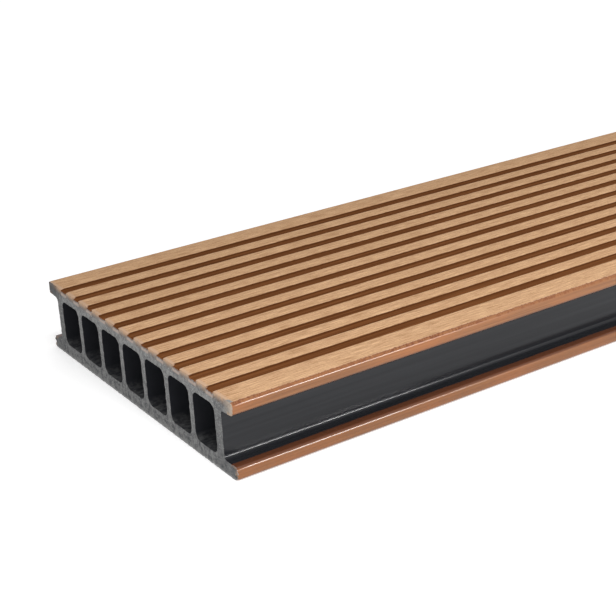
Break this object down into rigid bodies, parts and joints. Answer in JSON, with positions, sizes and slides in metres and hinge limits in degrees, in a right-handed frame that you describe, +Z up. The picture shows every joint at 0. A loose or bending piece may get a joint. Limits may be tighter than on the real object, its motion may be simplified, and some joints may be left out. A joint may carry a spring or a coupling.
{
  "type": "hollow decking board",
  "caption": "Hollow extruded composite decking board with a grooved walking face and clip recesses along both edges.",
  "frame": {"origin": "middle of the underside, on the floor that the board lies on", "axes": "+X along the board's length, +Y across the board, +Z up out of the walking face"},
  "size_m": [2.2, 0.15, 0.03],
  "materials": {
    "composite": "brushed wood-plastic composite: warm brown walking face and edges, charcoal core, sawn ends"
  },
  "bodies": {
    "root": {"decking_board": "composite"}
  },
  "joints": []
}
